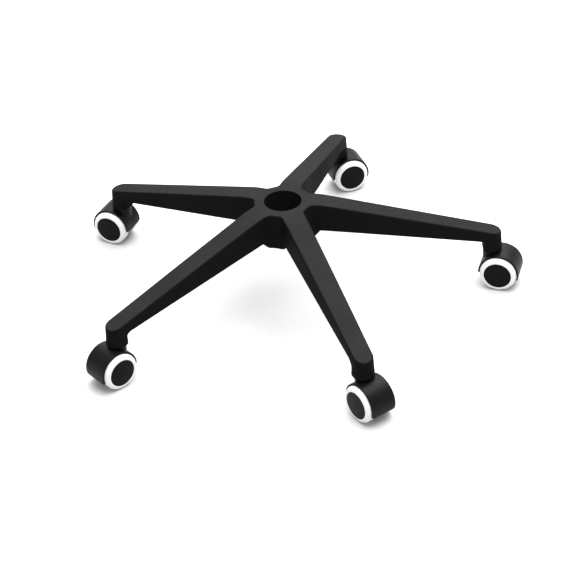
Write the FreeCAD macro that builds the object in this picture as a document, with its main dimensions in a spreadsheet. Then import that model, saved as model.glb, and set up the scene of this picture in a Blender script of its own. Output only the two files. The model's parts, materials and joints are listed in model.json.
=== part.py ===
"""Five star base of an office chair, on five twin-wheel casters.

Millimetres, +Z up. The origin is the centre of the gas-lift socket's mouth, on the hub's top
face. Each caster piece is modelled once, about its own swivel axis with the axle's height as
zero and the wheels trailing towards +X, and is then linked to the five arm ends.
"""
import FreeCAD, Part
import math
import os

import Sketcher

ARM_COUNT = 5

# Where each caster's wheels trail to, in degrees about the vertical, as the base was left standing.
CASTER_HEADINGS = (-18.0, 17.2, 152.0, 219.0, 304.0)

DIMENSIONS = (
    ("socket_radius", 25.3, "straight mouth of the gas-lift socket"),
    ("socket_land", 8.0, "length of that straight mouth"),
    ("taper_step", 0.15, "step from the mouth down to the taper"),
    ("taper_angle", 1.4378, "slope of the taper's side, degrees"),
    ("socket_wall", 7.0, "wall of the socket's tube"),
    ("hub_radius", 38.5, "outside of the hub at its top"),
    ("hub_depth", 49.5, "hub's top to its lower rim"),
    ("hub_flat_radius", 34.0, "flat middle of the top face"),
    ("bend_radius", 90.0, "bend from the flat into the sloping arms"),
    ("arm_slope", 15.7, "fall of the arms' top, degrees"),
    ("stem_circle", 279.5, "hub's axis to a caster's swivel axis"),
    ("arm_root_half", 16.6, "half of an arm's width, carried to the hub's axis"),
    ("arm_end_radius", 13.0, "round end of an arm, at its top face"),
    ("draft", 3.0, "draft of the outer walls, degrees"),
    ("root_depth", 40.8, "depth of an arm at the hub"),
    ("end_depth", 17.3, "depth of an arm at its round end"),
    ("ramp_inset", 1.5, "hub's rim to the ramp that leads to an arm's underside"),
    ("ramp_length", 6.0, "length of that ramp"),
    ("boss_reach", 12.0, "swivel axis to the back of an end boss"),
    ("boss_corner", 9.0, "rounded back corners of an end boss"),
    ("boss_drop", 95.0, "hub's top to the lower face of the end bosses"),
    ("crotch_radius", 9.0, "fillet between an arm and the hub"),
    ("edge_round", 2.2, "rounded edge of the top face"),
    ("boss_blend", 6.0, "fillet between an arm's underside and its boss"),
    ("arm_wall", 3.6, "side walls of the arms"),
    ("top_wall", 4.5, "top wall of the arms"),
    ("end_land", 1.5, "flat left between an arm's hollow and its boss"),
    ("rib", 2.4, "stiffening ribs under the arms"),
    ("first_rib", 80.0, "hub's axis to the first cross rib"),
    ("rib_pitch", 44.0, "spacing of the cross ribs"),
    ("stem_radius", 5.5, "upper end of a caster stem"),
    ("stem_fit", 0.1, "clearance of a stem in its boss"),
    ("stem_length", 22.0, "stem above its flange"),
    ("stem_head_room", 1.5, "space over a stem"),
    ("stem_chamfer", 1.2, "lead-in at the ends of a stem"),
    ("grip_bottom", 9.0, "flange to the grip ring's groove"),
    ("grip_height", 6.0, "height of the grip ring"),
    ("grip_wall", 0.8, "wall of the grip ring"),
    ("grip_slit", 2.5, "slit in the grip and retaining rings"),
    ("ring_play", 0.3, "play of a ring in its groove"),
    ("flange_radius", 8.0, "thrust flange of a stem"),
    ("flange", 1.3, "thickness of that flange"),
    ("swivel_gap", 0.1, "flange to the top of the collar"),
    ("swivel_radius", 5.0, "lower end of a caster stem"),
    ("swivel_fit", 0.05, "running clearance of the swivel"),
    ("swivel_length", 24.0, "stem below its flange"),
    ("keeper_bottom", 3.0, "stem's lower end to the retaining ring's groove"),
    ("keeper_height", 1.4, "height of the retaining ring"),
    ("keeper_depth", 0.7, "depth of the retaining ring's groove"),
    ("keeper_radius", 5.5, "outside of the retaining ring"),
    ("trail", 13.0, "swivel axis to the axle"),
    ("collar_radius", 11.5, "round collar under a boss"),
    ("collar_top", 29.7, "axle to the collar's top"),
    ("sleeve_radius", 7.4, "outside of the stem's sleeve"),
    ("stem_end_gap", 0.5, "stem's lower end to the bottom of its sleeve"),
    ("sleeve_floor", 3.0, "closed end of that sleeve"),
    ("wheel_radius", 25.0, "tread, at its crown"),
    ("wheel_face", 23.5, "middle plane to the rim of a wheel's outer disc"),
    ("wheel_inside", 8.6, "middle plane to the inner edge of a wheel"),
    ("disc_radius", 18.85, "dark outer disc inside the tread"),
    ("disc_wall", 2.2, "thickness of that disc"),
    ("disc_dome", 0.8, "rise of the disc's middle"),
    ("rim_radius", 20.6, "wheel body under the tread"),
    ("rim_wall", 2.4, "thickness of the wheel body's rim"),
    ("tread_shoulder", 5.2, "rounded outer shoulder of the tread"),
    ("tread_inner_round", 1.6, "rounded inner shoulder of the tread"),
    ("tread_lip", 1.8, "thickness of the tread's lip round the disc"),
    ("spoke", 1.8, "ribs inside a wheel"),
    ("spoke_inset", 2.4, "inner edge of a wheel to its ribs"),
    ("hood_gap", 1.0, "tread to the inside of the hood"),
    ("hood_wall", 1.8, "wall of the hood"),
    ("hood_half", 18.5, "middle plane to the side of the hood"),
    ("hood_back_angle", 20.0, "back lip below the axle, degrees"),
    ("hood_front_angle", 5.0, "front lip below the axle, degrees"),
    ("hood_corner", 4.0, "rounded corners of the lips"),
    ("hood_round", 0.8, "rounded outer edge of the hood's sides"),
    ("web_half", 2.5, "half of the centre web"),
    ("axle_radius", 3.0, "axle"),
    ("axle_half", 20.4, "half of the axle's length"),
    ("axle_chamfer", 0.6, "chamfered ends of the axle"),
    ("press_fit", 0.02, "clearance of the axle in its boss"),
    ("roll_fit", 0.08, "running clearance of a wheel on the axle"),
    ("axle_boss", 6.5, "boss round the axle"),
    ("axle_boss_half", 7.4, "half of that boss's length"),
    ("wheel_hub", 5.8, "hub of a wheel"),
    ("wheel_side_play", 0.3, "axle boss to a wheel's hub"),
    ("axle_end_play", 0.4, "axle's end to the bottom of a wheel's bore"),
)

CROSS_RIB_COUNT = 4
SPOKE_COUNT = 6

# For picking edges and faces: a touch and a near miss in millimetres, and how far the normal of
# a wall may rise or fall.
TOUCH = 0.01
NEAR = 2.0
WALL_RISE = 0.5

ALIASES = {alias for alias, _, _ in DIMENSIONS}

doc = FreeCAD.newDocument("five_star_base")
sheet = doc.addObject("Spreadsheet::Sheet", "sizes")
for row, (alias, value, meaning) in enumerate(DIMENSIONS, start=1):
    sheet.set(f"A{row}", meaning)
    sheet.set(f"B{row}", str(value))
    sheet.setAlias(f"B{row}", alias)
doc.recompute()


def named(expression):
    """Spell an expression in the sheet's names for use on another object."""
    words = []
    word = ""
    for sign in expression + " ":
        if sign.isalnum() or sign == "_":
            word += sign
            continue
        words.append("sizes." + word if word in ALIASES else word)
        words.append(sign)
        word = ""
    return "".join(words).strip()


def number(expression):
    """Present value of an expression in the sheet's names."""
    return float(sheet.evalExpression(named(str(expression))))


def bind(thing, prop, expression):
    thing.setExpression(prop, named(str(expression)))


# Sketches

def new_body(name):
    return doc.addObject("PartDesign::Body", name)


def origin_feature(body, role):
    return next(item for item in body.Origin.OriginFeatures if item.Role == role)


def new_sketch(body, name, plane, lift=None):
    """A sketch on one of the body's own planes, lifted along that plane's normal."""
    sketch = body.newObject("Sketcher::SketchObject", name)
    sketch.AttachmentSupport = [(origin_feature(body, plane), "")]
    sketch.MapMode = "FlatFace"
    if lift is not None:
        bind(sketch, "AttachmentOffset.Base.z", lift)
    return sketch


def fix_coordinate(sketch, point, kind, expression):
    """Hold one coordinate of a sketch point at an expression, measured from the origin."""
    value = number(expression)
    geometry, position = point
    if math.isclose(value, 0, abs_tol=TOUCH / 1000):
        axis = -2 if kind == "DistanceX" else -1
        sketch.addConstraint(Sketcher.Constraint("PointOnObject", geometry, position, axis))
        return
    if value > 0:
        ends = (-1, 1, geometry, position)
        text = expression
    else:
        ends = (geometry, position, -1, 1)
        text = f"-({expression})"
    index = sketch.addConstraint(Sketcher.Constraint(kind, *ends, abs(value)))
    bind(sketch, f"Constraints[{index}]", text)


def outline(sketch, corners):
    """Draw a closed outline.

    A corner is (x, y) for the end of a straight side, or (x, y, centre_x, centre_y, turn) for
    the end of an arc, with turn +1 counter-clockwise and -1 clockwise. All are expressions.
    """
    points = [FreeCAD.Vector(number(c[0]), number(c[1]), 0) for c in corners]
    ends = []
    for index, corner in enumerate(corners):
        start = points[index - 1]
        end = points[index]
        if len(corner) == 2:
            side = sketch.addGeometry(Part.LineSegment(start, end))
            ends.append((side, 1, 2))
            continue
        centre = FreeCAD.Vector(number(corner[2]), number(corner[3]), 0)
        circle = Part.Circle(centre, FreeCAD.Vector(0, 0, 1), (start - centre).Length)
        first, last = (start, end) if corner[4] > 0 else (end, start)
        angles = [math.atan2(p.y - centre.y, p.x - centre.x) for p in (first, last)]
        if angles[1] <= angles[0]:
            angles[1] += 2 * math.pi
        side = sketch.addGeometry(Part.ArcOfCircle(circle, *angles))
        ends.append((side, 1, 2) if corner[4] > 0 else (side, 2, 1))
        fix_coordinate(sketch, (side, 3), "DistanceX", corner[2])
        fix_coordinate(sketch, (side, 3), "DistanceY", corner[3])
    for index, (side, _, last) in enumerate(ends):
        following = ends[(index + 1) % len(ends)]
        sketch.addConstraint(
            Sketcher.Constraint("Coincident", side, last, following[0], following[1]))
    for index, corner in enumerate(corners):
        place = (ends[index][0], ends[index][2])
        kinds = ["DistanceX", "DistanceY"]
        if len(corner) > 2:
            arm = points[index] - FreeCAD.Vector(number(corner[2]), number(corner[3]), 0)
            kinds = ["DistanceX"] if abs(arm.y) > abs(arm.x) else ["DistanceY"]
        for kind in kinds:
            fix_coordinate(sketch, place, kind, corner[0 if kind == "DistanceX" else 1])
    return sketch


def ring(sketch, x, y, radius):
    """Draw a full circle."""
    centre = FreeCAD.Vector(number(x), number(y), 0)
    circle = sketch.addGeometry(
        Part.Circle(centre, FreeCAD.Vector(0, 0, 1), number(radius)))
    fix_coordinate(sketch, (circle, 3), "DistanceX", x)
    fix_coordinate(sketch, (circle, 3), "DistanceY", y)
    index = sketch.addConstraint(Sketcher.Constraint("Radius", circle, number(radius)))
    bind(sketch, f"Constraints[{index}]", radius)
    return sketch


# Features

def extrude(body, kind, sketch, length, back=False, both=False, draft=None):
    """Pad or pocket a sketch."""
    feature = body.newObject(f"PartDesign::{kind}", f"{sketch.Name}_{kind.lower()}")
    feature.Profile = sketch
    bind(feature, "Length", length)
    feature.Reversed = back
    if both:
        feature.SideType = "Symmetric"
    if draft is not None:
        bind(feature, "TaperAngle", draft)
    doc.recompute()
    return feature


def turn(body, kind, sketch, axis="V_Axis"):
    """Revolve or groove a sketch through a full turn about one of its own axes."""
    feature = body.newObject(f"PartDesign::{kind}", f"{sketch.Name}_{kind.lower()}")
    feature.Profile = sketch
    feature.ReferenceAxis = (sketch, [axis])
    feature.Angle = 360
    doc.recompute()
    return feature


def around(body, features, count, axis=None):
    """Repeat features evenly round an axis, which is the body's upright one unless another is given."""
    pattern = body.newObject("PartDesign::PolarPattern", f"{features[0].Name}_round")
    pattern.Originals = features
    pattern.Axis = axis or (origin_feature(body, "Z_Axis"), [""])
    pattern.Angle = 360
    pattern.Occurrences = count
    body.Tip = pattern
    doc.recompute()
    return pattern


def round_edges(body, name, radius, wanted, kind="Fillet"):
    """Fillet or chamfer the edges of the body's last feature that pass a test."""
    base = body.Tip
    names = [f"Edge{n}" for n, edge in enumerate(base.Shape.Edges, start=1) if wanted(edge)]
    if not names:
        raise ValueError(f"{name}: no edge to round")
    feature = body.newObject(f"PartDesign::{kind}", name)
    feature.Base = (base, names)
    bind(feature, "Radius" if kind == "Fillet" else "Size", radius)
    doc.recompute()
    return feature


def middle(edge):
    return edge.valueAt((edge.FirstParameter + edge.LastParameter) / 2)


def reach(edge):
    """Distance of an edge's middle from the vertical axis."""
    spot = middle(edge)
    return math.hypot(spot.x, spot.y)


def leans(body, edge):
    """How the two faces at an edge face: u up, d down, w sideways as a wall, in that order."""
    marks = []
    spot = middle(edge)
    for face in body.Tip.Shape.ancestorsOfType(edge, Part.Face):
        rise = face.normalAt(*face.Surface.parameter(spot)).z
        marks.append("w" if abs(rise) < WALL_RISE else "u" if rise > 0 else "d")
    return "".join(sorted(marks))


def on_circle(edge, radius, height, axis):
    """Is an edge a circle of this radius, centred on a main axis at this height along it?"""
    curve = edge.Curve
    if not isinstance(curve, Part.Circle):
        return False
    centre = curve.Center
    return abs(curve.Radius - radius) < TOUCH and abs(centre.dot(axis) - height) < TOUCH


# Star base: the outside

BEND_END = "(hub_flat_radius + bend_radius * sin(arm_slope))"
BEND_DROP = "(bend_radius * (1 - cos(arm_slope)))"
OUTER_REACH = "(stem_circle + 3 * arm_end_radius)"


def top_height(radius):
    """Height of the top face on the sloping stretch, at a distance from the hub's axis."""
    return f"(-{BEND_DROP} - (({radius}) - {BEND_END}) * tan(arm_slope))"


END_TOP = top_height("stem_circle")
END_UNDER = f"({END_TOP} - end_depth)"
UNDER_SLOPE = f"((-root_depth - {END_UNDER}) / (stem_circle - hub_radius))"
HUB_RIM = "(hub_radius + hub_depth * tan(draft))"
RAMP_START = f"({HUB_RIM} + ramp_inset)"
RAMP_END = f"({RAMP_START} + ramp_length)"
BOSS_BACK = "(stem_circle - boss_reach)"
END_HALF = f"(arm_end_radius + {END_TOP} * tan(draft))"


def under_height(radius):
    """Height of the arms' underside at a distance from the hub's axis."""
    return f"(-root_depth - (({radius}) - hub_radius) * {UNDER_SLOPE})"


def arm_plan(sketch, root_half, end_radius, end_place):
    """An arm seen from above: straight sides running out tangent to a round end."""
    half = number(root_half)
    radius = number(end_radius)
    place = number(end_place)
    lean = math.asin((half - radius) / math.hypot(place, half - radius))
    touch = FreeCAD.Vector(place + radius * math.sin(lean), radius * math.cos(lean), 0)
    mirror = FreeCAD.Vector(touch.x, -touch.y, 0)
    root = FreeCAD.Vector(0, half, 0)
    heel = FreeCAD.Vector(0, -half, 0)
    circle = Part.Circle(FreeCAD.Vector(place, 0, 0), FreeCAD.Vector(0, 0, 1), radius)
    angle = math.atan2(touch.y, touch.x - place)
    end = sketch.addGeometry(Part.ArcOfCircle(circle, -angle, angle))
    upper = sketch.addGeometry(Part.LineSegment(touch, root))
    back = sketch.addGeometry(Part.LineSegment(root, heel))
    lower = sketch.addGeometry(Part.LineSegment(heel, mirror))
    fix_coordinate(sketch, (end, 3), "DistanceX", end_place)
    fix_coordinate(sketch, (end, 3), "DistanceY", "0")
    index = sketch.addConstraint(Sketcher.Constraint("Radius", end, radius))
    bind(sketch, f"Constraints[{index}]", end_radius)
    sketch.addConstraint(Sketcher.Constraint("Tangent", end, 2, upper, 1))
    sketch.addConstraint(Sketcher.Constraint("Tangent", lower, 2, end, 1))
    sketch.addConstraint(Sketcher.Constraint("Coincident", upper, 2, back, 1))
    sketch.addConstraint(Sketcher.Constraint("Coincident", back, 2, lower, 1))
    fix_coordinate(sketch, (upper, 2), "DistanceX", "0")
    fix_coordinate(sketch, (upper, 2), "DistanceY", root_half)
    fix_coordinate(sketch, (lower, 1), "DistanceX", "0")
    fix_coordinate(sketch, (lower, 1), "DistanceY", f"-{root_half}")
    return sketch


def star_outside():
    """Hub and arms as one drafted block, turned to its top and underside, with rounded edges."""
    body = new_body("outside")
    hub = ring(new_sketch(body, "hub", "XY_Plane"), "0", "0", "hub_radius")
    extrude(body, "Pad", hub, "boss_drop", back=True, draft="draft")
    plan = new_sketch(body, "arm", "XY_Plane")
    arm_plan(plan, "arm_root_half", END_HALF, "stem_circle")
    arm = extrude(body, "Pad", plan, "boss_drop", back=True, draft="draft")
    around(body, [arm], ARM_COUNT)

    # The corner that each arm's side makes with the hub.
    def in_crotch(edge):
        return edge.BoundBox.ZLength > number("hub_depth") and reach(edge) < number("first_rib")

    round_edges(body, "crotches", "crotch_radius", in_crotch)

    # Everything over the top face and under the arms is turned away about the hub's axis.
    over = new_sketch(body, "over", "XZ_Plane")
    outline(over, (
        ("hub_flat_radius", "0"),
        (BEND_END, f"-{BEND_DROP}", "hub_flat_radius", "-bend_radius", -1),
        (OUTER_REACH, top_height(OUTER_REACH)),
        (OUTER_REACH, "hub_depth"),
        ("hub_flat_radius", "hub_depth"),
    ))
    turn(body, "Groove", over)
    under = new_sketch(body, "under", "XZ_Plane")
    outline(under, (
        ("0", "-hub_depth"),
        (RAMP_START, "-hub_depth"),
        (RAMP_END, under_height(RAMP_END)),
        (BOSS_BACK, under_height(BOSS_BACK)),
        (BOSS_BACK, "-2 * boss_drop"),
        ("0", "-2 * boss_drop"),
    ))
    turn(body, "Groove", under)

    # The back corners of the bosses stand upright between two steep walls.
    def boss_back_corner(edge):
        return leans(body, edge) == "ww" and abs(reach(edge) - number(BOSS_BACK)) < NEAR

    round_edges(body, "boss_corners", "boss_corner", boss_back_corner)

    def boss_root(edge):
        over_boss_face = middle(edge).z > NEAR - number("boss_drop")
        return leans(body, edge) == "dw" and over_boss_face and reach(edge) > number(BOSS_BACK) - NEAR

    round_edges(body, "boss_roots", "boss_blend", boss_root)

    def top_rim(edge):
        return leans(body, edge) == "uw"

    round_edges(body, "rim", "edge_round", top_rim)

    # The gas-lift socket: a short straight mouth, then the self-holding taper.
    socket = new_sketch(body, "socket", "XZ_Plane")
    outline(socket, (
        ("0", "socket_land"),
        ("socket_radius", "socket_land"),
        ("socket_radius", "-socket_land"),
        ("socket_radius - taper_step", "-socket_land"),
        ("socket_radius - taper_step - hub_depth * tan(taper_angle)",
         "-socket_land - hub_depth"),
        ("0", "-socket_land - hub_depth"),
    ))
    turn(body, "Groove", socket)
    hole = new_sketch(body, "stem_socket", "XY_Plane", lift="-boss_drop")
    ring(hole, "stem_circle", "0", "stem_radius + stem_fit")
    drilled = extrude(body, "Pocket", hole, "stem_length + stem_head_room", back=True)
    around(body, [drilled], ARM_COUNT)
    return body


# Star base: the hollow under the arms, with slots where the ribs stay

HOLLOW_END = f"({BOSS_BACK} - boss_blend - end_land)"
HOLLOW_ROOT_HALF = "(arm_root_half - arm_wall)"
HOLLOW_END_HALF = (
    f"({HOLLOW_ROOT_HALF} - (arm_root_half - {END_HALF}) * {HOLLOW_END} / stem_circle)")
RIB_SPAN = "(arm_root_half + boss_drop * tan(draft))"


def box_outline(x_low, x_high, half):
    """Corners of a rectangle that lies evenly about the x axis."""
    return ((x_low, f"-({half})"), (x_high, f"-({half})"), (x_high, half), (x_low, half))


def star_hollow():
    body = new_body("hollow")
    plan = new_sketch(body, "channel", "XY_Plane")
    outline(plan, (
        ("0", f"-{HOLLOW_ROOT_HALF}"),
        (HOLLOW_END, f"-{HOLLOW_END_HALF}"),
        (HOLLOW_END, HOLLOW_END_HALF),
        ("0", HOLLOW_ROOT_HALF),
    ))
    channel = extrude(body, "Pad", plan, "boss_drop", back=True, draft="draft")
    spine = new_sketch(body, "spine", "XY_Plane")
    outline(spine, box_outline("-hub_radius", OUTER_REACH, "rib / 2"))
    spine_slot = extrude(body, "Pocket", spine, "2 * boss_drop")
    crossings = new_sketch(body, "cross_ribs", "XY_Plane")
    for count in range(CROSS_RIB_COUNT):
        near = f"(first_rib + {count} * rib_pitch)"
        outline(crossings, box_outline(near, f"({near} + rib)", RIB_SPAN))
    cross_slots = extrude(body, "Pocket", crossings, "2 * boss_drop")
    around(body, [channel, spine_slot, cross_slots], ARM_COUNT)

    # The socket's tube and the top wall are left standing.
    tube = new_sketch(body, "tube", "XZ_Plane")
    outline(tube, (
        ("0", "-2 * boss_drop"),
        ("socket_radius + socket_wall", "-2 * boss_drop"),
        ("socket_radius + socket_wall", "boss_drop"),
        ("0", "boss_drop"),
    ))
    turn(body, "Groove", tube)
    roof = new_sketch(body, "roof", "XZ_Plane")
    outline(roof, (
        ("0", "-top_wall"),
        ("hub_flat_radius", "-top_wall"),
        ("hub_flat_radius + (bend_radius - top_wall) * sin(arm_slope)",
         "(bend_radius - top_wall) * cos(arm_slope) - bend_radius",
         "hub_flat_radius", "-bend_radius", -1),
        (OUTER_REACH, f"{top_height(OUTER_REACH)} - top_wall / cos(arm_slope)"),
        (OUTER_REACH, "boss_drop"),
        ("0", "boss_drop"),
    ))
    turn(body, "Groove", roof)
    return body


def star_base():
    base = doc.addObject("Part::Cut", "star_base")
    base.Base = star_outside()
    base.Tool = star_hollow()
    doc.recompute()
    return base


# Casters: heights are measured from the axle, and x from the swivel axis to the back

FLANGE_LOW = "(collar_top + swivel_gap)"
FLANGE_HIGH = f"({FLANGE_LOW} + flange)"
STEM_LOW = f"({FLANGE_LOW} - swivel_length)"
STEM_HIGH = f"({FLANGE_HIGH} + stem_length)"
GRIP_LOW = f"({FLANGE_HIGH} + grip_bottom)"
GRIP_OUTSIDE = "(stem_radius + stem_fit - press_fit)"
GRIP_INSIDE = f"({GRIP_OUTSIDE} - grip_wall)"
GRIP_GROOVE = f"({GRIP_INSIDE} - ring_play)"
KEEPER_LOW = f"({STEM_LOW} + keeper_bottom)"
KEEPER_GROOVE = "(swivel_radius - keeper_depth)"


def caster_stem():
    """Turned steel stem: grip ring groove above its flange, retaining ring groove below."""
    body = new_body("caster_stem")
    sketch = new_sketch(body, "stem_section", "XZ_Plane")
    outline(sketch, (
        ("0", STEM_LOW),
        ("swivel_radius - stem_chamfer", STEM_LOW),
        ("swivel_radius", f"{STEM_LOW} + stem_chamfer"),
        ("swivel_radius", KEEPER_LOW),
        (KEEPER_GROOVE, KEEPER_LOW),
        (KEEPER_GROOVE, f"{KEEPER_LOW} + keeper_height + ring_play"),
        ("swivel_radius", f"{KEEPER_LOW} + keeper_height + ring_play"),
        ("swivel_radius", FLANGE_LOW),
        ("flange_radius", FLANGE_LOW),
        ("flange_radius", FLANGE_HIGH),
        ("stem_radius", FLANGE_HIGH),
        ("stem_radius", GRIP_LOW),
        (GRIP_GROOVE, GRIP_LOW),
        (GRIP_GROOVE, f"{GRIP_LOW} + grip_height + ring_play"),
        ("stem_radius", f"{GRIP_LOW} + grip_height + ring_play"),
        ("stem_radius", f"{STEM_HIGH} - stem_chamfer"),
        ("stem_radius - stem_chamfer", STEM_HIGH),
        ("0", STEM_HIGH),
    ))
    turn(body, "Revolution", sketch)
    return body


def split_ring(name, inside, outside_radius, low, height):
    """A spring ring with a slit, which lets it close as it is pushed home."""
    body = new_body(name)
    section = new_sketch(body, f"{name}_section", "XZ_Plane")
    outline(section, (
        (inside, low),
        (outside_radius, low),
        (outside_radius, f"{low} + {height}"),
        (inside, f"{low} + {height}"),
    ))
    turn(body, "Revolution", section)
    slit = new_sketch(body, f"{name}_slit", "XY_Plane")
    outline(slit, box_outline("0", f"2 * {outside_radius}", "grip_slit / 2"))
    extrude(body, "Pocket", slit, f"2 * {low} + 2 * {height}", back=True)
    return body


HOOD_INSIDE = "(wheel_radius + hood_gap)"
HOOD_OUTSIDE = f"({HOOD_INSIDE} + hood_wall)"
SWIVEL_BORE = "(swivel_radius + swivel_fit)"
BORE_FLOOR = f"({STEM_LOW} - stem_end_gap)"
KEEPER_ROOM = "(keeper_radius + ring_play)"


def caster_hood():
    """Moulded hood: wheel guard, collar, centre web, stem sleeve and axle boss in one."""
    body = new_body("caster_hood")
    guard = new_sketch(body, "guard", "XZ_Plane")
    outline(guard, (
        (f"trail + {HOOD_OUTSIDE} * cos(hood_back_angle)",
         f"-{HOOD_OUTSIDE} * sin(hood_back_angle)"),
        (f"trail - {HOOD_OUTSIDE} * cos(hood_front_angle)",
         f"-{HOOD_OUTSIDE} * sin(hood_front_angle)", "trail", "0", 1),
    ))
    extrude(body, "Pad", guard, "2 * hood_half", both=True)
    collar = ring(new_sketch(body, "collar", "XY_Plane"), "0", "0", "collar_radius")
    extrude(body, "Pad", collar, "collar_top")
    for side, back in (("left", False), ("right", True)):
        lift = "web_half" if back else "-web_half"
        well = new_sketch(body, f"{side}_well", "XZ_Plane", lift=lift)
        ring(well, "trail", "0", HOOD_INSIDE)
        extrude(body, "Pocket", well, "2 * hood_half", back=back)

    # Lip corners, then the outer edge of the guard all round.
    def lip_corner(edge):
        on_side = abs(abs(middle(edge).y) - number("hood_half")) < TOUCH
        return on_side and edge.Length < number("hood_corner")

    round_edges(body, "lip_corners", "hood_corner", lip_corner)

    def guard_edge(edge):
        spot = middle(edge)
        outside = abs(math.hypot(spot.x - number("trail"), spot.z) - number(HOOD_OUTSIDE)) < TOUCH
        at_side = abs(spot.y) > number("hood_half - hood_corner")
        return outside and (at_side or spot.z < number("hood_corner"))

    round_edges(body, "guard_edges", "hood_round", guard_edge)
    sleeve = new_sketch(body, "sleeve", "XY_Plane", lift=f"{BORE_FLOOR} - sleeve_floor")
    ring(sleeve, "0", "0", "sleeve_radius")
    extrude(body, "Pad", sleeve, f"collar_top - {BORE_FLOOR} + sleeve_floor")
    boss = ring(new_sketch(body, "axle_boss_end", "XZ_Plane"), "trail", "0", "axle_boss")
    extrude(body, "Pad", boss, "2 * axle_boss_half", both=True)
    bore = new_sketch(body, "swivel_bore", "XZ_Plane")
    outline(bore, (
        ("0", BORE_FLOOR),
        (SWIVEL_BORE, BORE_FLOOR),
        (SWIVEL_BORE, f"{KEEPER_LOW} - ring_play"),
        (KEEPER_ROOM, f"{KEEPER_LOW} - ring_play"),
        (KEEPER_ROOM, f"{KEEPER_LOW} + keeper_height + ring_play"),
        (SWIVEL_BORE, f"{KEEPER_LOW} + keeper_height + ring_play"),
        (SWIVEL_BORE, "2 * collar_top"),
        ("0", "2 * collar_top"),
    ))
    turn(body, "Groove", bore)
    hole = new_sketch(body, "axle_hole", "XZ_Plane")
    ring(hole, "trail", "0", "axle_radius + press_fit")
    extrude(body, "Pocket", hole, "4 * axle_boss_half", both=True)
    return body


def wheel_axle():
    body = new_body("wheel_axle")
    section = ring(new_sketch(body, "axle_section", "XZ_Plane"), "trail", "0", "axle_radius")
    extrude(body, "Pad", section, "2 * axle_half", both=True)
    round_edges(body, "axle_ends", "axle_chamfer",
                lambda edge: isinstance(edge.Curve, Part.Circle), kind="Chamfer")
    return body


# Wheels: x is the distance from the axle, and y from the caster's middle plane

WHEEL_BORE = "(axle_radius + roll_fit)"
WHEEL_BORE_END = "(axle_half + axle_end_play)"
HUB_END = "(axle_boss_half + wheel_side_play)"
DISC_INSIDE = "(wheel_face - disc_wall)"
RIM_INSIDE = "(rim_radius - rim_wall)"
LIP_BACK = "(wheel_face - tread_lip)"
DOME_RADIUS = "((disc_radius * disc_radius + disc_dome * disc_dome) / (2 * disc_dome))"


def wheel_section(body, name):
    """A sketch on the level plane whose upright axis is the axle."""
    sketch = new_sketch(body, name, "XY_Plane")
    bind(sketch, "AttachmentOffset.Base.x", "trail")
    return sketch


def wheel_core():
    """Moulded wheel body: outer disc, rim and hub, open towards the hood, with spokes inside."""
    body = new_body("wheel_core")
    section = wheel_section(body, "core_section")
    outline(section, (
        ("0", WHEEL_BORE_END),
        (WHEEL_BORE, WHEEL_BORE_END),
        (WHEEL_BORE, HUB_END),
        ("wheel_hub", HUB_END),
        ("wheel_hub", DISC_INSIDE),
        (RIM_INSIDE, DISC_INSIDE),
        (RIM_INSIDE, "wheel_inside"),
        ("rim_radius", "wheel_inside"),
        ("rim_radius", LIP_BACK),
        ("disc_radius", LIP_BACK),
        ("disc_radius", "wheel_face"),
        ("0", "wheel_face + disc_dome", "0", f"wheel_face + disc_dome - {DOME_RADIUS}", 1),
    ))
    turn(body, "Revolution", section)
    spokes = new_sketch(body, "spoke", "XZ_Plane", lift=f"-{DISC_INSIDE}")
    bind(spokes, "AttachmentOffset.Base.x", "trail")
    outline(spokes, box_outline(
        "(wheel_hub + axle_radius) / 2", f"({RIM_INSIDE} + rim_wall / 2)", "spoke / 2"))
    spoke = extrude(body, "Pad", spokes, f"{DISC_INSIDE} - wheel_inside - spoke_inset")
    around(body, [spoke], SPOKE_COUNT, axis=(spokes, ["N_Axis"]))
    return body


def wheel_tread():
    """Soft tread moulded round the rim, with a full outer shoulder."""
    body = new_body("wheel_tread")
    section = wheel_section(body, "tread_section")
    outline(section, (
        ("disc_radius", LIP_BACK),
        ("rim_radius", LIP_BACK),
        ("rim_radius", "wheel_inside"),
        ("wheel_radius", "wheel_inside"),
        ("wheel_radius", "wheel_face"),
        ("disc_radius", "wheel_face"),
    ))
    turn(body, "Revolution", section)
    sideways = FreeCAD.Vector(0, 1, 0)
    for name, radius, height in (("outer_shoulder", "tread_shoulder", "wheel_face"),
                                 ("inner_shoulder", "tread_inner_round", "wheel_inside")):
        round_edges(body, name, radius, lambda edge: on_circle(
            edge, number("wheel_radius"), number(height), sideways))
    return body


# Assembly

AXLE_HEIGHT = "-(boss_drop + flange + swivel_gap + collar_top)"


def link(piece, label, arm, heading, flip=False):
    """Set a caster piece at the end of an arm; a flipped one faces the other side of its hood."""
    angle = 360 * arm / ARM_COUNT
    shift = "2 * trail" if flip else "0"
    copy = doc.addObject("App::Link", label)
    copy.Label = label
    copy.LinkedObject = piece
    copy.Placement.Rotation = FreeCAD.Rotation(FreeCAD.Vector(0, 0, 1), heading + 180 * flip)
    bind(copy, "Placement.Base.x", f"stem_circle * cos({angle}) + {shift} * cos({heading})")
    bind(copy, "Placement.Base.y", f"stem_circle * sin({angle}) + {shift} * sin({heading})")
    bind(copy, "Placement.Base.z", AXLE_HEIGHT)
    return copy


stem = caster_stem()
grip_ring = split_ring("grip_ring", GRIP_INSIDE, GRIP_OUTSIDE, GRIP_LOW, "grip_height")
keeper = split_ring(
    "keeper", f"({KEEPER_GROOVE} + press_fit)", "keeper_radius", KEEPER_LOW, "keeper_height")
hood = caster_hood()
axle = wheel_axle()
core = wheel_core()
tread = wheel_tread()

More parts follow.
